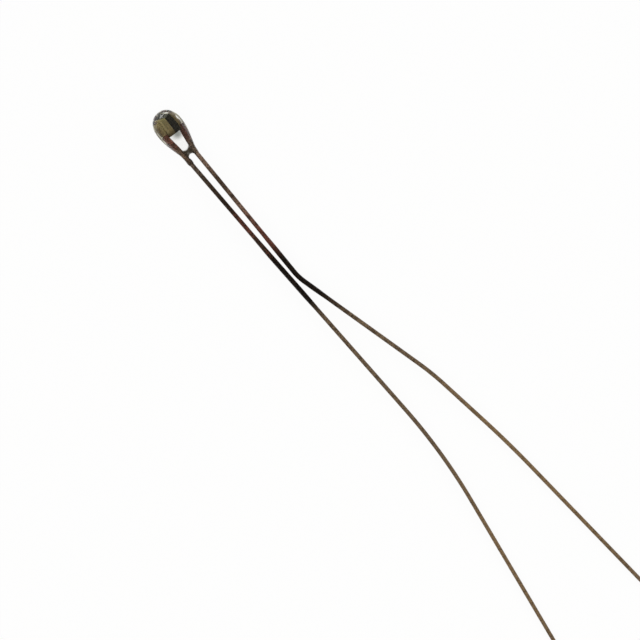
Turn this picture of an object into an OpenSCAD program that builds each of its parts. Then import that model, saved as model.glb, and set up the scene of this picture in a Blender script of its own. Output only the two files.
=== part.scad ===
// Bead thermistor: a small die soldered between two enamelled leads and dipped in a clear drop.
// Millimetres. The bead rests on the table at the origin, +X runs along the leads, +Z is up.

/* [Wire] */
// bare wire diameter
conductor_d = 0.2; // [0.16:0.01:0.24]
// enamel on the wire, per side
enamel_wall = 0.03; // [0.012:0.001:0.04]
// solder on the bared outer ends, per side
tin_wall = 0.025; // [0.005:0.001:0.03]
// bared and tinned length of each outer end
tip_len = 3; // [1:0.5:6]

/* [Die] */
// length of the die along the bead
die_len = 1.03; // [0.8:0.01:1.2]
// width of the die's electrode faces
die_wid = 0.84; // [0.6:0.01:0.9]
// thickness of the die between its electrodes
die_thk = 0.41; // [0.3:0.01:0.5]
// turn of the die about the bead's axis, wedged between the leads
die_turn = 59.6; // [50:0.1:70]
// the die sits this far off centre across its width
die_slip = 0.12; // [0:0.01:0.15]
// thickness of each electrode
electrode_thk = 0.015; // [0.01:0.001:0.03]
// solder between a lead and its electrode
solder_film = 0.022; // [0.012:0.001:0.04]
// solder round a lead, per side
solder_wall = 0.08; // [0.05:0.005:0.1]
// the solder stops this far short of each end of the bared wire
solder_gap = 0.03; // [0.02:0.005:0.06]
// share of the left solder drawn away at its middle
left_waist = 0; // [0:0.1:0.8]
// share of the right solder drawn away at its middle
right_waist = 0.8; // [0:0.1:0.8]
// the bared leads stop this far short of the die's outer end
end_gap = 0.05; // [0:0.01:0.15]
// the enamel reaches this far back over the die
enamel_lap = 0.19; // [0.1:0.01:0.3]

/* [Drop] */
// clear material beside the leads at the widest section
coat_side = 0.288; // [0.25:0.002:0.5]
// clear material past the die's outer end
coat_tip = 0.465; // [0.35:0.005:0.8]
// clear material round the leads at the neck
coat_neck = 0.022; // [0.015:0.001:0.035]
// the die's centre lies this far behind the widest section
die_back = 0.15; // [0.05:0.01:0.25]
// widest section to neck
taper_len = 1.9; // [1.7:0.05:3]
// thickness over width of the head
flatness = 0.95; // [0.9:0.01:1.1]
// lean of the bead from the line of the leads
lean = 2.7; // [1:0.1:4]
// the drop's legs run this far past the neck
leg_len = 0.2; // [0.1:0.05:0.4]
// the run of clear material down the left lead
run_len = 0.55; // [0.45:0.05:0.9]
// roundness of the drop's edge between the leads
arch_round = 0.19; // [0.14:0.01:0.24]

/* [Leads] */
// wire from the neck to its outer end
lead_len = 43.5; // [37:0.5:80]
// lead spacing at the neck
neck_pitch = 0.656; // [0.55:0.002:0.8]
// straight wire inside the enamel before the leads close in on the neck
splay_run = 0.2; // [0.1:0.05:0.4]
// bend radius inside the bead
inner_radius = 1.5; // [0.8:0.1:2]

/* [Left lead] */
// heading past the neck, in degrees from +X toward +Y
left_head_1 = 0; // [-1:0.1:0.4]
// length of the first run
left_run_1 = 7.65; // [5:0.05:9]
// radius of the first bend
left_radius_1 = 20; // [5:1:40]
// heading past the first bend
left_head_2 = 0.67; // [0.5:0.01:2]
// length of the second run
left_run_2 = 16.55; // [10:0.05:18]
// radius of the second bend
left_radius_2 = 42; // [10:1:60]
// heading past the second bend
left_head_3 = -9.42; // [-14:0.01:-4]

/* [Right lead] */
// heading past the neck, in degrees from +X toward +Y
right_head_1 = -1.21; // [-1.6:0.01:0]
// length of the first run
right_run_1 = 9.73; // [7:0.01:10.5]
// radius of the first bend
right_radius_1 = 3.5; // [2:0.5:8]
// heading past the first bend
right_head_2 = 13.36; // [9:0.01:16]
// length of the second run
right_run_2 = 10.35; // [8:0.05:12]
// radius of the second bend
right_radius_2 = 20; // [8:1:40]
// heading past the second bend
right_head_3 = 6.98; // [5:0.01:8.5]
// length of the third run
right_run_3 = 6.86; // [5:0.02:8]
// radius of the third bend
right_radius_3 = 80; // [20:5:110]
// heading past the third bend
right_head_4 = 3.65; // [1:0.01:4.8]

/* [Hidden] */
$fn = 48;
// sides of the drop's sections
loft_sides = 40;
// the bends are this much thinner than the runs, per side, and reach this far into them
bend_thin = 0.002;
bend_reach = 0.03;

// Derived sizes
lead_d = conductor_d + 2 * enamel_wall;
tip_r = conductor_d / 2 + tin_wall;
block_thk = die_thk + 2 * electrode_thk;
die_pitch = (block_thk + 2 * solder_film + conductor_d) / sin(die_turn);
half_wid = die_pitch / 2 + lead_d / 2 + coat_side;
half_thk = half_wid * flatness;
head_len = die_back + die_len / 2 + coat_tip;
neck_wid = neck_pitch / 2 + lead_d / 2 + coat_neck;
neck_thk = lead_d / 2 + 2.5 * coat_neck;
arch_r = neck_pitch / 2 - lead_d / 2 - coat_neck;

// Lead routes in the flat plane of the leads
function along(a) = [cos(a), sin(a)];
function leaned(p) = [p[0] * cos(lean) + p[1] * sin(lean), p[1] * cos(lean) - p[0] * sin(lean)];
function angle_of(v) = atan2(v[1], v[0]);
function bend(p, i) = angle_of(p[i + 1] - p[i]) - angle_of(p[i] - p[i - 1]);
function setback(p, radii, i) = i < 1 || i > len(radii) ? 0 : radii[i - 1] * tan(abs(bend(p, i)) / 2);
function walk(p, heads, runs, i = 0) =
    i == len(runs) ? [p] : concat([p], walk(p + runs[i] * along(heads[i]), heads, runs, i + 1));
function total(v, i = 0) = i == len(v) ? 0 : v[i] + total(v, i + 1);

neck = leaned([taper_len, 0]);
inner_end = -die_back - die_len / 2 + end_gap;
enamel_start = -die_back + die_len / 2 - enamel_lap;
splay_at = enamel_start + splay_run;

function route(side, heads, runs) = concat(
    [leaned([inner_end, side * die_pitch / 2]), leaned([splay_at, side * die_pitch / 2])],
    walk(neck + [0, side * neck_pitch / 2], heads, concat(runs, lead_len - total(runs)))
);
left_route = route(-1, [left_head_1, left_head_2, left_head_3], [left_run_1, left_run_2]);
right_route = route(1, [right_head_1, right_head_2, right_head_3, right_head_4],
    [right_run_1, right_run_2, right_run_3]);
left_bends = [inner_radius, inner_radius, left_radius_1, left_radius_2];
right_bends = [inner_radius, inner_radius, right_radius_1, right_radius_2, right_radius_3];

// the same route cut back at both ends
function cut_back(p, head, tail) = let (n = len(p) - 1)
    [for (i = [0 : n])
        i == 0 ? p[0] + head * (p[1] - p[0]) / norm(p[1] - p[0])
        : i == n ? p[n] - tail * (p[n] - p[n - 1]) / norm(p[n] - p[n - 1])
        : p[i]];
enamel_head = enamel_start - inner_end;

// Resting pose: the head of the drop and both lead ends lie on the table
left_end = left_route[len(left_route) - 1];
right_end = right_route[len(right_route) - 1];
end_cross = left_end[0] * right_end[1] - left_end[1] * right_end[0];
fall = tip_r - half_thk;
slope_x = fall * (right_end[1] - left_end[1]) / end_cross;
slope_y = fall * (left_end[0] - right_end[0]) / end_cross;
rest_pitch = -asin(slope_x);
rest_roll = asin(slope_y / cos(rest_pitch));

module settle() {
    translate([0, 0, half_thk]) rotate([rest_roll, rest_pitch, 0]) children();
}

module in_bead() {
    settle() rotate([0, 0, -lean]) children();
}

// A round wire along a route. The bends are a hair thinner than the runs and reach a little way into them.
module swept(p, radii, d) {
    for (i = [0 : len(p) - 2]) {
        heading = angle_of(p[i + 1] - p[i]);
        start = p[i] + setback(p, radii, i) * along(heading);
        stop = p[i + 1] - setback(p, radii, i + 1) * along(heading);
        translate([start[0], start[1], 0]) rotate([0, 90, heading]) cylinder(h = norm(stop - start), d = d);
    }
    for (i = [1 : len(p) - 2]) {
        heading = angle_of(p[i] - p[i - 1]);
        turn = bend(p, i);
        side = sign(turn);
        radius = radii[i - 1];
        reach = bend_reach / radius * 180 / PI;
        centre = p[i] - setback(p, radii, i) * along(heading) + side * radius * along(heading + 90);
        translate([centre[0], centre[1], 0])
            rotate([0, 0, heading - side * 90 + min(turn, 0) - reach])
                rotate_extrude(angle = abs(turn) + 2 * reach)
                    translate([radius, 0]) circle(d = d - 2 * bend_thin);
    }
}

// Drop sections from tip to neck: [station, half width, half thickness, squareness]
function swell(u) = pow(1 - pow(u, 2.2), 1 / 2.2);
function ease(u) = pow((1 + cos(180 * u)) / 2, 0.66);
drop_sections = concat(
    [for (t = [9 : 9 : 81]) let (u = cos(t)) [-head_len * u, half_wid * swell(u), half_thk * swell(u), 2]],
    [for (i = [0 : 14]) let (u = i / 14, k = ease(u))
        [taper_len * u, neck_wid + (half_wid - neck_wid) * k, neck_thk + (half_thk - neck_thk) * k, 3 - k]],
    [for (i = [1 : 3]) let (u = i / 3)
        [taper_len + leg_len * u, neck_wid - 0.9 * coat_neck * u, neck_thk - 2.4 * coat_neck * u, 3]]
);
function rim(s) = [for (i = [0 : loft_sides - 1]) let (
        a = 360 * i / loft_sides, c = cos(a), d = sin(a), e = 2 / s[3])
    [s[0], s[1] * sign(c) * pow(abs(c), e), s[2] * sign(d) * pow(abs(d), e)]];

module drop_loft() {
    rings = len(drop_sections);
    n = loft_sides;
    last = (rings - 1) * n;
    points = concat([for (s = drop_sections) each rim(s)], [[-head_len, 0, 0]]);
    walls = [for (k = [0 : rings - 2], i = [0 : n - 1]) let (
            a = k * n + i, b = k * n + (i + 1) % n)
        each [[a, b, b + n], [a, b + n, a + n]]];
    tip = [for (i = [0 : n - 1]) [rings * n, (i + 1) % n, i]];
    foot = [[for (i = [0 : n - 1]) last + i]];
    polyhedron(points = points, faces = concat(walls, tip, foot), convexity = 4);
}

module at_die() {
    translate([-die_back, 0, 0]) rotate([die_turn, 0, 0]) translate([0, die_slip, 0]) children();
}

module die_block(thk) {
    at_die() cube([die_len, die_wid, thk], center = true);
}

module electrode(side) {
    at_die() translate([0, 0, side * (die_thk + electrode_thk) / 2])
        cube([die_len, die_wid, electrode_thk], center = true);
}

// A spindle of solder round a bared lead end, cut off flat at the electrode
module solder(side, waist, bore) {
    half = (enamel_start - inner_end) / 2 - solder_gap;
    crest = [for (i = [-10 : 10]) let (u = i / 10, drawn = 1 - waist * exp(-6 * u * u))
        [conductor_d / 2 + solder_wall * (0.5 + 0.5 * cos(90 * u)) * drawn, u * half]];
    difference() {
        translate([(inner_end + enamel_start) / 2, side * die_pitch / 2, 0]) rotate([0, 90, 0]) rotate_extrude()
            polygon(concat([[bore, -half]], crest, [[bore, half]]));
        at_die() cube([2 * die_len, 2 * die_wid, block_thk], center = true);
    }
}

module tip(p) {
    n = len(p) - 1;
    heading = angle_of(p[n] - p[n - 1]);
    foot = p[n] - tip_len * along(heading);
    bore = conductor_d / 2;
    dome = [for (a = [0 : 15 : 90]) [tip_r * cos(a), tip_len + tip_r * sin(a)]];
    translate([foot[0], foot[1], 0]) rotate([0, 90, heading]) rotate_extrude()
        polygon(concat([[bore, 0], [tip_r, 0]], dome, [[0, tip_len], [bore, tip_len]]));
}

// Everything the drop closes round
module inner_pieces() {
    rotate([0, 0, -lean]) {
        die_block(block_thk);
        solder(-1, left_waist, 0);
        solder(1, right_waist, 0);
    }
    for (p = [left_route, right_route]) {
        stub = [p[0], p[1], p[2], p[2] + 2 * run_len * (p[3] - p[2]) / norm(p[3] - p[2])];
        swept(stub, [inner_radius, inner_radius], conductor_d);
        swept(cut_back(stub, enamel_head, 0), [inner_radius, inner_radius], lead_d);
    }
}

// The hollow between the drop's legs: an arch with a rounded edge, open toward the leads
module arch_hollow() {
    steep = 66;
    edge = [for (a = [-steep : 11 : steep])
        [arch_r + arch_round * (1 - cos(a)), arch_round * sin(a)]];
    top = edge[len(edge) - 1];
    out = top + 2 * arch_round * [sin(steep), cos(steep)];
    translate([neck[0] + arch_r, neck[1], 0]) {
        rotate_extrude() polygon(concat([[0, -out[1]], [out[0], -out[1]]], edge, [out, [0, out[1]]]));
        translate([leg_len + run_len, 0, 0])
            cube([2 * (leg_len + run_len), 2 * arch_r, 4 * neck_thk], center = true);
    }
}

module clear_drop() {
    color([0.9, 0.93, 0.9, 0.35]) settle() difference() {
        union() {
            rotate([0, 0, -lean]) drop_loft();
            for (leg = [[left_route[2], left_head_1, run_len], [right_route[2], right_head_1, leg_len]])
                translate([leg[0][0], leg[0][1], 0]) rotate([0, 90, leg[1]])
                    cylinder(h = leg[2], d1 = lead_d + 2.4 * coat_neck, d2 = lead_d + 0.6 * coat_neck);
        }
        arch_hollow();
        inner_pieces();
    }
}

module die() {
    color([0.12, 0.11, 0.1]) in_bead() die_block(die_thk);
}

module front_electrode() {
    color([0.5, 0.45, 0.33]) in_bead() electrode(1);
}

module back_electrode() {
    color([0.5, 0.45, 0.33]) in_bead() electrode(-1);
}

module left_solder() {
    color([0.55, 0.52, 0.45]) in_bead() solder(-1, left_waist, conductor_d / 2);
}

module right_solder() {
    color([0.55, 0.52, 0.45]) in_bead() solder(1, right_waist, conductor_d / 2);
}

module left_wire() {
    color([0.72, 0.42, 0.25]) settle() swept(left_route, left_bends, conductor_d);
}

module right_wire() {
    color([0.72, 0.42, 0.25]) settle() swept(right_route, right_bends, conductor_d);
}

module enamel(p, radii) {
    color([0.28, 0.19, 0.14]) settle() difference() {
        swept(cut_back(p, enamel_head, tip_len), radii, lead_d);
        swept(p, radii, conductor_d);
    }
}

module left_enamel() {
    enamel(left_route, left_bends);
}

module right_enamel() {
    enamel(right_route, right_bends);
}

module left_tip() {
    color([0.75, 0.75, 0.74]) settle() tip(left_route);
}

module right_tip() {
    color([0.75, 0.75, 0.74]) settle() tip(right_route);
}

clear_drop();
die();
front_electrode();
back_electrode();
left_solder();
right_solder();
left_wire();
right_wire();
left_enamel();
right_enamel();
left_tip();
right_tip();
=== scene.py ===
import math

import bpy
from mathutils import Matrix, Vector


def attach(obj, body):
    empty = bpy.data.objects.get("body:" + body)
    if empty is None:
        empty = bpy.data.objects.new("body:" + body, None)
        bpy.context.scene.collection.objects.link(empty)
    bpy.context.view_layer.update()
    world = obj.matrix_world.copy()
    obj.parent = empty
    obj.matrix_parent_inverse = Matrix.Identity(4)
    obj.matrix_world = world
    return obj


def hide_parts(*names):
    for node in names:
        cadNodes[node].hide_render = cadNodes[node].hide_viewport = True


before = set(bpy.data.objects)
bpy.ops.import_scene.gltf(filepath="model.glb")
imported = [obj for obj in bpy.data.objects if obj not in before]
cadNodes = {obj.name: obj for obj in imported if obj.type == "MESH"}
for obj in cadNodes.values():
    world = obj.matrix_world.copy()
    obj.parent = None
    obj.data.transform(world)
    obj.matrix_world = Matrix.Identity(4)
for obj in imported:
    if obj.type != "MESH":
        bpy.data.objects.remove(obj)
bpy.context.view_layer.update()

print("frame loaded with", len(cadNodes), "solids")

# sizes shared by the drop and the leads, in millimetres and degrees
bead = {
    "wireRadius": 0.1,
    "leadRadius": 0.13,
    "tipRadius": 0.125,
    "tipLength": 3.0,
    "blockThick": 0.44,
    "solderFilm": 0.022,
    "dieTurn": 59.6,
    "dieBack": 0.15,
    "dieLength": 1.03,
    "enamelLap": 0.19,
    "coatSide": 0.288,
    "coatTip": 0.465,
    "coatNeck": 0.022,
    "neckFill": 2.5,
    "stub": 0.2,
    "flatness": 0.95,
    "taperLength": 1.9,
    "lean": 2.7,
    "neckPitch": 0.656,
    "leadLength": 43.5,
}
dieStack = bead["blockThick"] + 2 * bead["solderFilm"] + 2 * bead["wireRadius"]
diePitch = dieStack / math.sin(math.radians(bead["dieTurn"]))
halfWide = diePitch / 2 + bead["leadRadius"] + bead["coatSide"]
halfThick = halfWide * bead["flatness"]
headLength = bead["dieBack"] + bead["dieLength"] / 2 + bead["coatTip"]
neckWide = bead["neckPitch"] / 2 + bead["leadRadius"] + bead["coatNeck"]
neckThick = bead["leadRadius"] + bead["neckFill"] * bead["coatNeck"]
enamelStart = -bead["dieBack"] + bead["dieLength"] / 2 - bead["enamelLap"]


def heading(degrees):
    return Vector((math.cos(math.radians(degrees)), math.sin(math.radians(degrees))))


def leaned(x, y):
    turn = math.radians(bead["lean"])
    return Vector((x * math.cos(turn) + y * math.sin(turn), y * math.cos(turn) - x * math.sin(turn)))


neck = leaned(bead["taperLength"], 0)


# corner points of a lead in the flat plane of the leads
def leadCorners(lead):
    inside = lead["side"] * diePitch / 2
    corners = [leaned(enamelStart, inside), leaned(enamelStart + bead["stub"], inside)]
    corners.append(neck + Vector((0, lead["side"] * bead["neckPitch"] / 2)))
    runs = lead["runs"] + [bead["leadLength"] - sum(lead["runs"])]
    for degrees, run in zip(lead["headings"], runs):
        corners.append(corners[-1] + heading(degrees) * run)
    return corners


leftLead = {
    "headings": [0, 0.67, -9.42],
    "runs": [7.65, 16.55],
    "radii": [1.5, 1.5, 20, 42],
    "side": -1,
    "swell": 0.026,
    "collar": 0.035,
}
rightLead = {
    "headings": [-1.21, 13.36, 6.98, 3.65],
    "runs": [9.73, 10.35, 6.86],
    "radii": [1.5, 1.5, 3.5, 20, 80],
    "side": 1,
    "swell": 0.06,
    "collar": 0.055,
}
leftCorners = leadCorners(leftLead)
rightCorners = leadCorners(rightLead)


# the flat plane leans so that the head and both lead ends lie on the table
def restMatrix():
    left = leftCorners[-1]
    right = rightCorners[-1]
    cross = left.x * right.y - left.y * right.x
    fall = bead["tipRadius"] - halfThick
    pitch = -math.asin(fall * (right.y - left.y) / cross)
    roll = math.asin(fall * (left.x - right.x) / cross / math.cos(pitch))
    turned = Matrix.Rotation(pitch, 4, "Y") @ Matrix.Rotation(roll, 4, "X")
    return Matrix.Translation((0, 0, halfThick)) @ turned


settle = restMatrix()


def placed(point):
    return (settle @ Vector(point)) / 1000


def makePiece(name, points, faces, node):
    mesh = bpy.data.meshes.new(name)
    mesh.from_pydata([placed(p) for p in points], [], faces)
    mesh.update()
    for face in mesh.polygons:
        face.use_smooth = True
    piece = bpy.data.objects.new(name, mesh)
    bpy.context.scene.collection.objects.link(piece)
    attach(piece, "root")
    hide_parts(node)
    return piece


# camera at the photograph's angle
view = {
    "target": (14.540, -0.656, 0.4),
    "distance": 90.0,
    "tilt": 15.0,
    "roll": 49.3,
    "lens": 84.375,
    "sensor": 36,
    "clip": (0.005, 5),
}


def makeCamera():
    tilt = math.radians(view["tilt"])
    roll = math.radians(view["roll"])
    look = Vector((math.sin(tilt), 0, -math.cos(tilt)))
    away = Vector((math.cos(tilt), 0, math.sin(tilt)))
    across = Vector((0, 1, 0))
    right = math.cos(roll) * away + math.sin(roll) * across
    up = -math.sin(roll) * away + math.cos(roll) * across
    data = bpy.data.cameras.new("photoCamera")
    data.sensor_fit = "HORIZONTAL"
    data.sensor_width = view["sensor"]
    data.lens = view["lens"]
    data.clip_start, data.clip_end = view["clip"]
    camera = bpy.data.objects.new("photoCamera", data)
    bpy.context.scene.collection.objects.link(camera)
    place = Matrix((right, up, -look)).transposed().to_4x4()
    place.translation = (Vector(view["target"]) - look * view["distance"]) / 1000
    camera.matrix_world = place
    bpy.context.scene.camera = camera


makeCamera()
print("camera placed")


# shader helpers
def newMaterial(name):
    material = bpy.data.materials.new(name)
    material.use_nodes = True
    tree = material.node_tree
    shader = tree.nodes["Principled BSDF"]
    return material, tree, shader


def addNode(tree, kind, **values):
    node = tree.nodes.new(kind)
    for key, value in values.items():
        setattr(node, key, value)
    return node


def placeGroup(tree, group, **values):
    node = tree.nodes.new("ShaderNodeGroup")
    node.node_tree = group
    for key, value in values.items():
        node.inputs[key].default_value = value
    return node


def newGroup(name, inputs, outputs):
    group = bpy.data.node_groups.new(name, "ShaderNodeTree")
    for label, kind in inputs:
        group.interface.new_socket(label, in_out="INPUT", socket_type=kind)
    for label, kind in outputs:
        group.interface.new_socket(label, in_out="OUTPUT", socket_type=kind)
    return group, group.nodes.new("NodeGroupInput"), group.nodes.new("NodeGroupOutput")


# surface position in millimetres
def millimetres(tree):
    where = addNode(tree, "ShaderNodeTexCoord")
    scaled = addNode(tree, "ShaderNodeVectorMath", operation="SCALE")
    scaled.inputs["Scale"].default_value = 1000
    tree.links.new(where.outputs["Object"], scaled.inputs[0])
    return scaled.outputs[0]


# soft patches: Mask runs from 0 to 1 between Low and High of the noise
def makeMottle():
    group, given, out = newGroup(
        "mottle",
        [("Scale", "NodeSocketFloat"), ("Detail", "NodeSocketFloat"), ("Low", "NodeSocketFloat"),
         ("High", "NodeSocketFloat"), ("Shift", "NodeSocketFloat")],
        [("Mask", "NodeSocketFloat")],
    )
    noise = addNode(group, "ShaderNodeTexNoise", noise_dimensions="4D")
    spread = addNode(group, "ShaderNodeMapRange", interpolation_type="SMOOTHSTEP")
    link = group.links.new
    link(millimetres(group), noise.inputs["Vector"])
    link(given.outputs["Scale"], noise.inputs["Scale"])
    link(given.outputs["Detail"], noise.inputs["Detail"])
    link(given.outputs["Shift"], noise.inputs["W"])
    link(noise.outputs["Fac"], spread.inputs["Value"])
    link(given.outputs["Low"], spread.inputs["From Min"])
    link(given.outputs["High"], spread.inputs["From Max"])
    link(spread.outputs["Result"], out.inputs["Mask"])
    return group


# fine lumps and pits for a bump
def makeGrain():
    group, given, out = newGroup(
        "grain",
        [("Scale", "NodeSocketFloat"), ("Pits", "NodeSocketFloat")],
        [("Height", "NodeSocketFloat")],
    )
    lumps = addNode(group, "ShaderNodeTexNoise")
    lumps.inputs["Detail"].default_value = 4
    pits = addNode(group, "ShaderNodeTexVoronoi", feature="F1")
    deepen = addNode(group, "ShaderNodeMath", operation="MULTIPLY_ADD")
    link = group.links.new
    where = millimetres(group)
    link(where, lumps.inputs["Vector"])
    link(where, pits.inputs["Vector"])
    link(given.outputs["Scale"], lumps.inputs["Scale"])
    link(given.outputs["Scale"], pits.inputs["Scale"])
    link(pits.outputs["Distance"], deepen.inputs[0])
    link(given.outputs["Pits"], deepen.inputs[1])
    link(lumps.outputs["Fac"], deepen.inputs[2])
    link(deepen.outputs[0], out.inputs["Height"])
    return group


mottle = makeMottle()
grain = makeGrain()


def srgb(red, green, blue):
    def linear(c):
        c = c / 255
        return c / 12.92 if c <= 0.04045 else ((c + 0.055) / 1.055) ** 2.4
    return (linear(red), linear(green), linear(blue), 1)


# a socket takes a link or a plain value
def fill(tree, socket, value):
    if isinstance(value, bpy.types.NodeSocket):
        tree.links.new(value, socket)
    else:
        socket.default_value = value


def mixColours(tree, mask, first, second):
    mix = addNode(tree, "ShaderNodeMix", data_type="RGBA")
    for socket, value in ((mix.inputs[0], mask), (mix.inputs[6], first), (mix.inputs[7], second)):
        fill(tree, socket, value)
    return mix.outputs[2]


def calculate(tree, operation, *values):
    node = addNode(tree, "ShaderNodeMath", operation=operation)
    for socket, value in zip(node.inputs, values):
        fill(tree, socket, value)
    return node.outputs[0]


def multiply(tree, first, second):
    return calculate(tree, "MULTIPLY", first, second)


# patches of one tone over a colour
def patchOver(tree, colour, noise, strength, tone):
    share = multiply(tree, noise.outputs["Mask"], strength)
    return mixColours(tree, share, colour, srgb(*tone))


def spreadTo(tree, value, low, high):
    node = addNode(tree, "ShaderNodeMapRange")
    node.inputs["To Min"].default_value = low
    node.inputs["To Max"].default_value = high
    tree.links.new(value, node.inputs["Value"])
    return node.outputs["Result"]


# soft edge: 0 at the first value and 1 at the second
def fade(tree, value, nothing, full):
    node = addNode(tree, "ShaderNodeMapRange", interpolation_type="SMOOTHSTEP")
    node.inputs["From Min"].default_value = nothing
    node.inputs["From Max"].default_value = full
    tree.links.new(value, node.inputs["Value"])
    return node.outputs["Result"]


def bumpFrom(tree, shader, height, depth):
    bump = addNode(tree, "ShaderNodeBump")
    bump.inputs["Strength"].default_value = 1
    bump.inputs["Distance"].default_value = depth / 1000
    tree.links.new(height, bump.inputs["Height"])
    tree.links.new(bump.outputs["Normal"], shader.inputs["Normal"])


# clear dipped drop
drop = {
    "headPower": 2.2,
    "taperPower": 0.66,
    "capAngle": 34.0,
    "headAngles": [52, 71],
    "taperStations": [0.0, 0.26, 0.52, 0.78, 1.04, 1.3, 1.53, 1.71],
    "archRound": 0.19,
    "archAngle": 48,
    "sideRise": 0.05,
    "tipCut": 0.05,
    "leftRun": [(0.1, 0.03), (0.22, 0.036), (0.35, 0.046), (0.47, 0.03), (0.55, 0.006)],
    "rightRun": [(0.1, 0.024), (0.2, 0.006)],
    "runEnd": [(0.0, -0.03), (-0.1, -0.05)],
    "levels": 3,
    "fitSteps": 30,
    "tint": (1, 0.998, 0.985, 1),
    "tipTintAndShade": (0.95, 0.95, 0.8, 1),
    "rimTintAndShade": (0.36, 0.34, 0.25, 1),
    "rimFacing": (0.45, 0.75),
    "rimFrom": (0.35, 0.6),
    "edgeTintAndShade": (0.64, 0.63, 0.44, 1),
    "edgeTip": (-0.5, -0.75),
    "edgeLeft": (-0.5, -0.76),
    "edgeRight": (0.5, 1.0),
    "edgeEnd": (0.9, 0.4),
    "webShadeAndBlob": (0.03, 0.023, 0.014, 1),
    "webFront": (1.46, 1.58),
    "webBow": 2.4,
    "webWide": (0.34, 0.2),
    "blobFrom": (1.96, 2.04),
    "blobTo": (2.46, 2.34),
    "blobSide": (0.1, -0.1),
    "blobShare": 0.45,
    "cloud": {"Scale": 3.0, "Detail": 2.0, "Low": 0.2, "High": 0.5, "Shift": 4.0},
    "cloudShare": (0.85, 1),
    "patches": [
        ((0.46, 0.1, 0), 0.42, 0.04, (0.3, 0.31, 0.29, 1)),
        ((0.06, -0.78, 0), 0.26, 0.06, (0.2, 0.18, 0.1, 1)),
        ((0.2, 0.8, 0), 0.3, 0.08, (0.22, 0.19, 0.12, 1)),
    ],
    "roughness": 0.04,
    "ior": 1.5,
    "specular": 0.25,
    "rippleScale": 1.4,
    "rippleDepth": 0.004,
}


# the drop in the photograph is a touch wider and shorter than the solid
shownWide = halfWide + drop["sideRise"]
shownHead = headLength - drop["tipCut"]


def dropSection(x):
    if x <= 0:
        power = drop["headPower"]
        swell = (1 - (-x / shownHead) ** power) ** (1 / power)
        return shownWide * swell, halfThick * swell, 2
    k = ((1 + math.cos(math.pi * x / bead["taperLength"])) / 2) ** drop["taperPower"]
    wide = neckWide + (shownWide - neckWide) * k
    thick = neckThick + (halfThick - neckThick) * k
    return wide, thick, 3 - k


def dropPoint(x, angle):
    wide, thick, square = dropSection(x)
    c = math.cos(angle)
    s = math.sin(angle)
    y = math.copysign(wide * abs(c) ** (2 / square), c)
    z = math.copysign(thick * abs(s) ** (2 / square), s)
    flat = leaned(x, y)
    return Vector((flat.x, flat.y, z))


def dropCage():
    points = []
    faces = []

    def put(point):
        points.append(point)
        return len(points) - 1

    def join(first, second):
        count = len(first)
        for i in range(count):
            j = (i + 1) % count
            faces.append((first[i], first[j], second[j], second[i]))

    # rounded cap of sixteen patches at the outer end
    cap = {}
    for u in range(-2, 3):
        for v in range(-2, 3):
            reach = max(abs(u), abs(v)) / 2
            if reach == 0:
                angle = 0
            elif abs(u) >= abs(v):
                angle = math.pi / 4 * v / u + (0 if u > 0 else math.pi)
            else:
                angle = math.pi / 2 - math.pi / 4 * u / v + (0 if v > 0 else math.pi)
            x = -shownHead * math.cos(math.radians(drop["capAngle"]) * reach)
            cap[u, v] = put(dropPoint(x, angle))
    for u in range(-2, 2):
        for v in range(-2, 2):
            faces.append((cap[u, v], cap[u, v + 1], cap[u + 1, v + 1], cap[u + 1, v]))
    rimKeys = [(2, 0), (2, 1), (2, 2), (1, 2), (0, 2), (-1, 2), (-2, 2), (-2, 1)]
    rimKeys += [(-u, -v) for u, v in rimKeys]
    ring = [cap[key] for key in rimKeys]

    # rings down the head and the taper
    stations = [-shownHead * math.cos(math.radians(a)) for a in drop["headAngles"]]
    for x in stations + drop["taperStations"]:
        following = [put(dropPoint(x, math.pi / 8 * i)) for i in range(16)]
        join(ring, following)
        ring = following

    # rounded edge of the arch between the legs
    def archPoint(turn):
        x = bead["taperLength"] - drop["archRound"] * (1 - math.cos(math.radians(turn)))
        flat = leaned(x, 0)
        return put(Vector((flat.x, flat.y, drop["archRound"] * math.sin(math.radians(turn)))))

    upper = archPoint(drop["archAngle"])
    middle = archPoint(0)
    lower = archPoint(-drop["archAngle"])

    # two legs that close round the leads
    rightLoop = ring[12:] + ring[:5] + [upper, middle, lower]
    leftLoop = ring[4:13] + [lower, middle, upper]
    legs = [
        (rightLoop, -120, rightCorners[2], rightLead["headings"][0], drop["rightRun"]),
        (leftLoop, 60, leftCorners[2], leftLead["headings"][0], drop["leftRun"]),
    ]
    for loop, firstAngle, start, degrees, run in legs:
        ends = [(run[-1][0] + back, coat) for back, coat in drop["runEnd"]]
        for along, coat in run + ends:
            centre = start + heading(degrees) * along
            side = heading(degrees + 90)
            radius = bead["leadRadius"] + coat
            following = []
            for i in range(12):
                a = math.radians(firstAngle + 30 * i)
                flat = centre + side * radius * math.cos(a)
                following.append(put(Vector((flat.x, flat.y, radius * math.sin(a)))))
            join(loop, following)
            loop = following
        faces.append(tuple(loop))
    return points, faces


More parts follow.
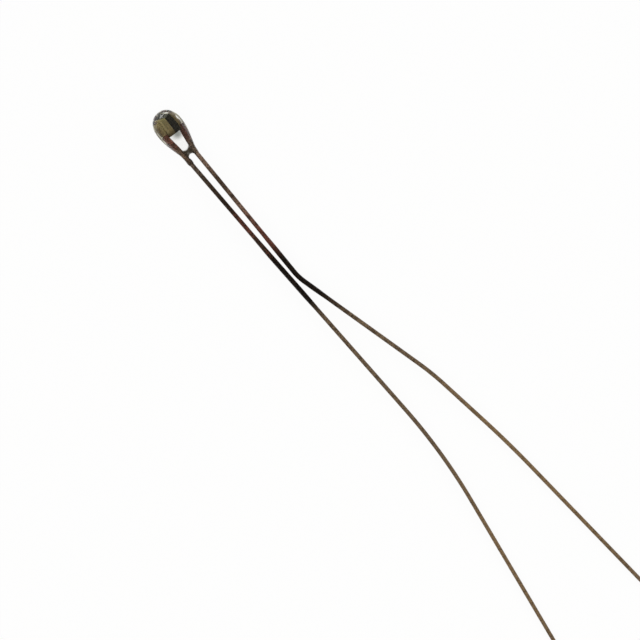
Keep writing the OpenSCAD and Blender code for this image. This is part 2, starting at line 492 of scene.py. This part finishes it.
def makeResin():
    material, tree, shader = newMaterial("clearResin")
    shader.inputs["Roughness"].default_value = drop["roughness"]
    shader.inputs["IOR"].default_value = drop["ior"]
    shader.inputs["Transmission Weight"].default_value = 1
    shader.inputs["Specular IOR Level"].default_value = drop["specular"]
    # painted shade: the web between the leads is darkened brown where its rounded edge looks dark, higher at
    # its sides
    split = addNode(tree, "ShaderNodeSeparateXYZ")
    where = millimetres(tree)
    tree.links.new(where, split.inputs[0])
    offset = calculate(tree, "ADD", split.outputs["Y"], -neck.y)
    bowed = multiply(tree, multiply(tree, offset, offset), drop["webBow"])
    front = calculate(tree, "ADD", split.outputs["X"], bowed)
    aside = calculate(tree, "ABSOLUTE", offset)
    web = multiply(tree, fade(tree, front, *drop["webFront"]), fade(tree, aside, *drop["webWide"]))
    # and a dark patch in the run down the left lead
    blob = multiply(tree, fade(tree, split.outputs["X"], *drop["blobFrom"]),
                    fade(tree, split.outputs["X"], *drop["blobTo"]))
    blob = multiply(tree, blob, multiply(tree, fade(tree, offset, *drop["blobSide"]), drop["blobShare"]))
    cloud = placeGroup(tree, mottle, **drop["cloud"])
    clouded = spreadTo(tree, cloud.outputs["Mask"], *drop["cloudShare"])
    share = multiply(tree, calculate(tree, "MAXIMUM", web, blob), clouded)
    colour = mixColours(tree, share, drop["tint"], drop["webShadeAndBlob"])
    # the resin is painted yellower and darker at the sides and the tip of the head: partly the resin's own
    # yellow, partly painted shade where the edges look dark
    sides = calculate(tree, "MAXIMUM", fade(tree, split.outputs["Y"], *drop["edgeLeft"]),
                      fade(tree, split.outputs["Y"], *drop["edgeRight"]))
    flank = multiply(tree, sides, fade(tree, split.outputs["X"], *drop["edgeEnd"]))
    colour = mixColours(tree, flank, colour, drop["edgeTintAndShade"])
    colour = mixColours(tree, fade(tree, split.outputs["X"], *drop["edgeTip"]), colour, drop["tipTintAndShade"])
    # a grey patch by the inner end of the die, and darker olive-brown patches at the rim by the ends of the
    # solder
    level = addNode(tree, "ShaderNodeVectorMath", operation="MULTIPLY")
    level.inputs[1].default_value = (1, 1, 0)
    tree.links.new(where, level.inputs[0])
    for middle, nothing, full, tone in drop["patches"]:
        away = addNode(tree, "ShaderNodeVectorMath", operation="DISTANCE")
        away.inputs[1].default_value = middle
        tree.links.new(level.outputs[0], away.inputs[0])
        colour = mixColours(tree, fade(tree, away.outputs["Value"], nothing, full), colour, tone)
    # the clear glassy taper is painted deeper and darker where it is seen edge on: partly the resin's own
    # colour over a longer path, partly painted shade along the outline
    facing = addNode(tree, "ShaderNodeLayerWeight")
    outline = multiply(tree, fade(tree, facing.outputs["Facing"], *drop["rimFacing"]),
                       fade(tree, split.outputs["X"], *drop["rimFrom"]))
    colour = mixColours(tree, outline, colour, drop["rimTintAndShade"])
    tree.links.new(colour, shader.inputs["Base Color"])
    ripple = placeGroup(tree, grain, Scale=drop["rippleScale"], Pits=0.0)
    bumpFrom(tree, shader, ripple.outputs["Height"], drop["rippleDepth"])
    # lamps shine through to the die
    through = addNode(tree, "ShaderNodeBsdfTransparent")
    through.inputs["Color"].default_value = drop["tint"]
    path = addNode(tree, "ShaderNodeLightPath")
    mix = addNode(tree, "ShaderNodeMixShader")
    tree.links.new(path.outputs["Is Shadow Ray"], mix.inputs[0])
    tree.links.new(shader.outputs[0], mix.inputs[1])
    tree.links.new(through.outputs[0], mix.inputs[2])
    tree.links.new(mix.outputs[0], tree.nodes["Material Output"].inputs["Surface"])
    return material


def makeDrop():
    points, faces = dropCage()
    piece = makePiece("clearDrop", points, faces, "clear_drop")
    wanted = [placed(p) for p in points]
    smooth = piece.modifiers.new("smooth", "SUBSURF")
    smooth.levels = drop["levels"]
    smooth.render_levels = drop["levels"]
    # the cage is let out until the smooth surface passes through its points
    worst = 0
    for step in range(drop["fitSteps"]):
        bpy.context.view_layer.update()
        shown = piece.evaluated_get(bpy.context.evaluated_depsgraph_get()).data
        moves = [wanted[i] - shown.vertices[i].co for i in range(len(wanted))]
        worst = max(move.length for move in moves)
        for corner, move in zip(piece.data.vertices, moves):
            corner.co += move
        piece.data.update()
    print("drop surface within", round(worst * 1e6, 3), "microns of its points")
    bpy.context.view_layer.update()
    shown = piece.evaluated_get(bpy.context.evaluated_depsgraph_get())
    smoothed = bpy.data.meshes.new_from_object(shown)
    piece.modifiers.clear()
    piece.data = smoothed
    smoothed.materials.clear()
    smoothed.materials.append(makeResin())


makeDrop()


# lead enamel
enamel = {
    "sides": 28,
    "step": 0.2,
    "fineStep": 0.05,
    "fineTo": 2,
    "leastSteps": 2,
    "leastBendSteps": 6,
    "lip": 0.01,
    "swellFrom": 0.08,
    "swellTo": 1.7,
    "swellLean": 0.6,
    "collarAt": 0.25,
    "collarWide": 0.1,
    "bandFrom": (8.0, 9.6),
    "bandTo": (14.0, 12.6),
    "bandRise": 0.022,
}


# points and headings along a lead with its corners rounded
def roundedPath(corners, radii):
    path = []
    here = corners[0]
    for i in range(1, len(corners)):
        leg = corners[i] - corners[i - 1]
        degrees = math.atan2(leg.y, leg.x)
        stop = corners[i]
        turn = 0
        if i < len(corners) - 1:
            nextLeg = corners[i + 1] - corners[i]
            turn = math.atan2(nextLeg.y, nextLeg.x) - degrees
            setback = radii[i - 1] * math.tan(abs(turn) / 2)
            stop = corners[i] - leg.normalized() * setback
        step = enamel["step"] if here.x > enamel["fineTo"] else enamel["fineStep"]
        count = max(enamel["leastSteps"], round((stop - here).length / step))
        for k in range(count):
            path.append((here.lerp(stop, k / count), degrees))
        here = stop
        if turn:
            side = math.copysign(1, turn)
            centre = stop + Vector((-math.sin(degrees), math.cos(degrees))) * side * radii[i - 1]
            count = max(enamel["leastBendSteps"], round(abs(turn) * radii[i - 1] / enamel["step"]))
            for k in range(count):
                a = degrees + turn * k / count
                path.append((centre - Vector((-math.sin(a), math.cos(a))) * side * radii[i - 1], a))
            a = degrees + turn
            here = centre - Vector((-math.sin(a), math.cos(a))) * side * radii[i - 1]
    path.append((here, degrees))
    return path


# scorched enamel stands a little proud on the outer side inside the drop, most at its burnt end
def swollen(x, lead):
    u = (x - enamel["swellFrom"]) / (enamel["swellTo"] - enamel["swellFrom"])
    rise = math.sin(math.pi * u ** enamel["swellLean"]) * lead["swell"] if 0 < u < 1 else 0
    return rise + lead["collar"] * math.exp(-((x - enamel["collarAt"]) / enamel["collarWide"]) ** 2)


def ramped(x, nothing, full):
    u = min(max((x - nothing) / (full - nothing), 0), 1)
    return u * u * (3 - 2 * u)


# the lacquer is thicker in the black band
def leadRadius(x, lead):
    band = ramped(x, *enamel["bandFrom"]) * ramped(x, *enamel["bandTo"])
    return bead["leadRadius"] + swollen(x, lead) / 2 + band * enamel["bandRise"]


def makeEnamel(name, corners, lead, node, material):
    last = corners[-1] - (corners[-1] - corners[-2]).normalized() * bead["tipLength"]
    path = roundedPath(corners[:-1] + [last], lead["radii"])
    points = []
    faces = []
    sides = enamel["sides"]
    rings = [(path[0], bead["wireRadius"])]
    rings += [(spot, leadRadius(spot[0].x, lead)) for spot in path]
    rings[1] = (path[0], bead["leadRadius"] - enamel["lip"])
    rings[-1] = (path[-1], bead["leadRadius"] - enamel["lip"])
    rings.append((path[-1], bead["wireRadius"]))
    for (centre, a), radius in rings:
        across = Vector((-math.sin(a), math.cos(a)))
        shift = swollen(centre.x, lead) / 2 * lead["side"]
        for i in range(sides):
            t = 2 * math.pi * i / sides
            flat = centre + across * (shift + radius * math.cos(t))
            points.append((flat.x, flat.y, radius * math.sin(t)))
    for k in range(len(rings) - 1):
        for i in range(sides):
            j = (i + 1) % sides
            faces.append((k * sides + i, k * sides + j, (k + 1) * sides + j, (k + 1) * sides + i))
    piece = makePiece(name, points, faces, node)
    piece.data.materials.append(material)


# lacquer colours by name, its worn patches and painted glints, then where the colours lie along each lead in
# millimetres
lacquer = {
    "reach": 45.0,
    "roughness": (0.4, 0.6),
    "coat": 0.06,
    "specular": 0.2,
    "inner": (120, 74, 65),
    "maroon": (86, 49, 45),
    "umber": (126, 102, 86),
    "ash": (134, 115, 101),
    "grey": (98, 84, 72),
    "brown": (66, 50, 37),
    "dark": (38, 27, 18),
    "rust": (98, 54, 42),
    "black": (9, 5, 3),
    "tan": (113, 94, 73),
    "buff": (132, 108, 78),
    "fleck": (20, 13, 8),
    "streak": (120, 60, 44),
    "glint": (150, 126, 92),
    "wornFade": (24, 12),
    "wornShare": (0.28, 0.6),
    "rustyFrom": (5, 7),
    "rustyTo": (10.2, 9.0),
    "rustyShare": 0.5,
    "glintFrom": (13, 16),
    "glintShare": 0.18,
    "flecks": {"Scale": 3.2, "Detail": 2.0, "Low": 0.5, "High": 0.62},
    "streaks": {"Scale": 9.0, "Detail": 1.0, "Low": 0.5, "High": 0.6},
    "glints": {"Scale": 5.0, "Detail": 1.0, "Low": 0.56, "High": 0.7},
    "specks": {"Scale": 10.0, "Detail": 1.0, "Low": 0.48, "High": 0.56},
    "shifts": {"flecks": 0, "streaks": 3, "glints": 5, "specks": 9},
    "skin": {"Scale": 9.0, "Pits": 0.2},
    "grainDepth": 0.003,
}
leftLacquer = {
    "stops": [(0.2, "inner"), (1.0, "inner"), (1.35, "umber"), (2.0, "umber"), (2.7, "grey"), (3.9, "brown"),
              (5.2, "dark"), (6.0, "dark"), (6.8, "rust"), (7.4, "rust"), (8.4, "brown"), (9.6, "black"),
              (13.2, "black"), (14.8, "tan"), (25.0, "tan"), (34.0, "buff"), (44.0, "tan")],
    "shift": 0.0,
}
rightLacquer = {
    "stops": [(0.2, "maroon"), (1.0, "maroon"), (1.4, "ash"), (1.8, "ash"), (2.4, "umber"), (3.0, "umber"),
              (4.0, "brown"), (6.2, "umber"), (8.0, "rust"), (9.2, "rust"), (10.0, "black"), (13.3, "black"),
              (14.2, "brown"), (15.3, "tan"), (20.0, "tan"), (26.0, "buff"), (36.0, "buff"), (44.0, "tan")],
    "shift": 7.0,
}


def makeLacquer(name, values):
    material, tree, shader = newMaterial(name)
    link = tree.links.new
    split = addNode(tree, "ShaderNodeSeparateXYZ")
    link(millimetres(tree), split.inputs[0])
    x = split.outputs["X"]
    ramp = addNode(tree, "ShaderNodeValToRGB")
    link(multiply(tree, x, 1 / lacquer["reach"]), ramp.inputs["Fac"])
    stops = values["stops"]
    elements = ramp.color_ramp.elements
    for element, (distance, tone) in zip(elements, (stops[0], stops[-1])):
        element.position = distance / lacquer["reach"]
        element.color = srgb(*lacquer[tone])
    for distance, tone in stops[1:-1]:
        elements.new(distance / lacquer["reach"]).color = srgb(*lacquer[tone])
    noises = {}
    for kind, shift in lacquer["shifts"].items():
        noises[kind] = placeGroup(tree, mottle, Shift=values["shift"] + shift, **lacquer[kind])
    # rust streaks before the black band, dark flecks and specks on the worn stretch, and painted highlights
    # as pale glints past it
    worn = spreadTo(tree, fade(tree, x, *lacquer["wornFade"]), *lacquer["wornShare"])
    rusty = multiply(tree, fade(tree, x, *lacquer["rustyFrom"]), fade(tree, x, *lacquer["rustyTo"]))
    rusty = multiply(tree, rusty, lacquer["rustyShare"])
    pale = multiply(tree, fade(tree, x, *lacquer["glintFrom"]), lacquer["glintShare"])
    colour = ramp.outputs["Color"]
    colour = patchOver(tree, colour, noises["streaks"], rusty, lacquer["streak"])
    colour = patchOver(tree, colour, noises["flecks"], worn, lacquer["fleck"])
    colour = patchOver(tree, colour, noises["specks"], worn, lacquer["dark"])
    colour = patchOver(tree, colour, noises["glints"], pale, lacquer["glint"])
    link(colour, shader.inputs["Base Color"])
    rough = spreadTo(tree, noises["flecks"].outputs["Mask"], *lacquer["roughness"])
    link(rough, shader.inputs["Roughness"])
    shader.inputs["Coat Weight"].default_value = lacquer["coat"]
    shader.inputs["Specular IOR Level"].default_value = lacquer["specular"]
    skin = placeGroup(tree, grain, **lacquer["skin"])
    bumpFrom(tree, shader, skin.outputs["Height"], lacquer["grainDepth"])
    return material


makeEnamel("leftEnamel", leftCorners, leftLead, "left_enamel", makeLacquer("leftLacquer", leftLacquer))
makeEnamel("rightEnamel", rightCorners, rightLead, "right_enamel", makeLacquer("rightLacquer", rightLacquer))
print("drop and leads made")


# finishes of the die, its electrodes, the solder and the bare metal, with painted light on the electrodes
# and the solder
finishNoise = {
    "patches": {"Detail": 3.0, "Low": 0.38, "High": 0.64, "Shift": 1.0},
    "specks": {"Detail": 1.0, "Low": 0.58, "High": 0.68, "Shift": 2.0},
    "pits": 0.3,
}


def makeFinish(values):
    material, tree, shader = newMaterial(values["name"])
    link = tree.links.new
    patches = placeGroup(tree, mottle, Scale=values["patchScale"], **finishNoise["patches"])
    specks = placeGroup(tree, mottle, Scale=values["speckScale"], **finishNoise["specks"])
    colour = mixColours(tree, patches.outputs["Mask"], srgb(*values["dark"]), srgb(*values["light"]))
    colour = patchOver(tree, colour, specks, values["speckShare"], values["speck"])
    where = addNode(tree, "ShaderNodeSeparateXYZ")
    link(millimetres(tree), where.inputs[0])
    # bands of tone by position, some of them painted light
    for axis, nothing, full, tone in values["toneAndLightBands"]:
        colour = mixColours(tree, fade(tree, where.outputs[axis], nothing, full), colour, srgb(*tone))
    link(colour, shader.inputs["Base Color"])
    rough = spreadTo(tree, patches.outputs["Mask"], *values["roughness"])
    link(rough, shader.inputs["Roughness"])
    shader.inputs["Metallic"].default_value = values["metallic"]
    shader.inputs["Specular IOR Level"].default_value = values["specular"]
    texture = placeGroup(tree, grain, Scale=values["grainScale"], Pits=finishNoise["pits"])
    bumpFrom(tree, shader, texture.outputs["Height"], values["grainDepth"])
    return material


oxide = {
    "name": "blackOxide", "dark": (5, 5, 4), "light": (22, 20, 17), "speck": (54, 52, 45),
    "toneAndLightBands": [],
    "patchScale": 5.0, "speckScale": 16.0, "speckShare": 0.35, "roughness": (0.45, 0.7),
    "metallic": 0.0, "specular": 0.4, "grainScale": 22.0, "grainDepth": 0.004,
}
# painted light: the electrode is lighter towards the tip end and low down, filling the shade in the crease
# by the left solder; it is darker towards the neck end
electrode = {
    "name": "firedElectrode", "dark": (104, 98, 68), "light": (150, 134, 95), "speck": (66, 58, 39),
    "toneAndLightBands": [("X", -0.3, -0.66, (154, 146, 104)), ("Z", 1.06, 0.88, (186, 174, 136)),
              ("X", -0.1, 0.34, (84, 70, 45))],
    "patchScale": 4.0, "speckScale": 11.0, "speckShare": 0.5, "roughness": (0.42, 0.62),
    "metallic": 0.2, "specular": 0.5, "grainScale": 18.0, "grainDepth": 0.003,
}
# painted light: the solder is lighter towards both ends and on the inner flank of the left solder, filling
# the shade in the crease by the electrode; it is darker on the right
solder = {
    "name": "dullSolder", "dark": (106, 92, 66), "light": (144, 127, 94), "speck": (92, 62, 46),
    "toneAndLightBands": [("X", -0.3, -0.6, (154, 140, 102)), ("Y", -0.42, -0.26, (162, 152, 116)),
              ("X", -0.05, 0.2, (164, 144, 110)), ("Y", 0.1, 0.3, (114, 100, 74))],
    "patchScale": 5.0, "speckScale": 12.0, "speckShare": 0.4, "roughness": (0.36, 0.55),
    "metallic": 0.2, "specular": 0.4, "grainScale": 12.0, "grainDepth": 0.004,
}
copper = {
    "name": "bareCopper", "dark": (70, 42, 34), "light": (104, 64, 48), "speck": (52, 36, 30),
    "toneAndLightBands": [],
    "patchScale": 4.0, "speckScale": 10.0, "speckShare": 0.5, "roughness": (0.3, 0.5),
    "metallic": 0.8, "specular": 0.5, "grainScale": 20.0, "grainDepth": 0.002,
}
tin = {
    "name": "tinnedEnd", "dark": (150, 148, 142), "light": (204, 202, 196), "speck": (112, 106, 96),
    "toneAndLightBands": [],
    "patchScale": 2.5, "speckScale": 8.0, "speckShare": 0.4, "roughness": (0.22, 0.42),
    "metallic": 0.9, "specular": 0.5, "grainScale": 6.0, "grainDepth": 0.005,
}
wearers = [
    (oxide, ["die"]),
    (electrode, ["front_electrode", "back_electrode"]),
    (solder, ["left_solder", "right_solder"]),
    (copper, ["left_wire", "right_wire"]),
    (tin, ["left_tip", "right_tip"]),
]
for values, names in wearers:
    finish = makeFinish(values)
    for name in names:
        cadNodes[name].data.materials.clear()
        cadNodes[name].data.materials.append(finish)
print("finishes given to the inner pieces and the tips")


# table, surroundings and lamps
studio = {
    "floorSize": 1.5,
    "floorColour": (0.94, 0.94, 0.94, 1),
    "floorRoughness": 0.9,
    "shadowShare": 0.06,
    "zenith": (0.13, 0.125, 0.11, 1),
    "horizon": (0.3, 0.28, 0.22, 1),
    "surround": (0.42, 0.39, 0.28, 1),
    "lampAim": (0.01, 0, 0),
    "lamps": [
        ("headLamp", (-0.5, 0.05, 0.06), 0.3, 1.1, True),
        ("sideLamp", (0.03, -0.28, 0.46), 0.7, 1.8, False),
        ("fillLamp", (0.15, 0.4, 0.36), 0.5, 1.5, False),
    ],
}


def makeFloor():
    half = studio["floorSize"] / 2
    mesh = bpy.data.meshes.new("floor")
    corners = [(-half, -half, 0), (half, -half, 0), (half, half, 0), (-half, half, 0)]
    mesh.from_pydata(corners, [], [(0, 1, 2, 3)])
    floor = bpy.data.objects.new("floor", mesh)
    bpy.context.scene.collection.objects.link(floor)
    material, tree, shader = newMaterial("paleFloor")
    link = tree.links.new
    shader.inputs["Base Color"].default_value = studio["floorColour"]
    shader.inputs["Roughness"].default_value = studio["floorRoughness"]
    shader.inputs["Specular IOR Level"].default_value = 0
    # the floor is white where it is seen, straight or by way of the part, and lights the part as plain floor
    glow = addNode(tree, "ShaderNodeEmission")
    path = addNode(tree, "ShaderNodeLightPath")
    seen = calculate(tree, "MAXIMUM", path.outputs["Is Camera Ray"], path.outputs["Is Glossy Ray"])
    seen = calculate(tree, "MAXIMUM", seen, path.outputs["Is Transmission Ray"])
    share = multiply(tree, seen, 1 - studio["shadowShare"])
    mix = addNode(tree, "ShaderNodeMixShader")
    link(share, mix.inputs[0])
    link(shader.outputs[0], mix.inputs[1])
    link(glow.outputs[0], mix.inputs[2])
    link(mix.outputs[0], tree.nodes["Material Output"].inputs["Surface"])
    mesh.materials.append(material)


def makeWorld():
    world = bpy.data.worlds.new("studio")
    world.use_nodes = True
    tree = world.node_tree
    sky = tree.nodes["Background"]
    where = addNode(tree, "ShaderNodeTexCoord")
    split = addNode(tree, "ShaderNodeSeparateXYZ")
    tree.links.new(where.outputs["Generated"], split.inputs[0])
    colour = mixColours(tree, split.outputs["Z"], studio["horizon"], studio["zenith"])
    path = addNode(tree, "ShaderNodeLightPath")
    colour = mixColours(tree, path.outputs["Is Transmission Ray"], colour, studio["surround"])
    tree.links.new(colour, sky.inputs["Color"])
    bpy.context.scene.world = world


def makeLamps():
    for name, place, size, power, mirrored in studio["lamps"]:
        data = bpy.data.lights.new(name, "AREA")
        data.shape = "DISK"
        data.size = size
        data.energy = power
        lamp = bpy.data.objects.new(name, data)
        bpy.context.scene.collection.objects.link(lamp)
        lamp.visible_glossy = mirrored
        lamp.visible_transmission = False
        lamp.location = place
        aim = Vector(studio["lampAim"]) - Vector(place)
        lamp.rotation_mode = "QUATERNION"
        lamp.rotation_quaternion = aim.to_track_quat("-Z", "Y")


makeFloor()
makeWorld()
makeLamps()
bpy.context.scene.view_settings.view_transform = "Standard"
print("studio set")
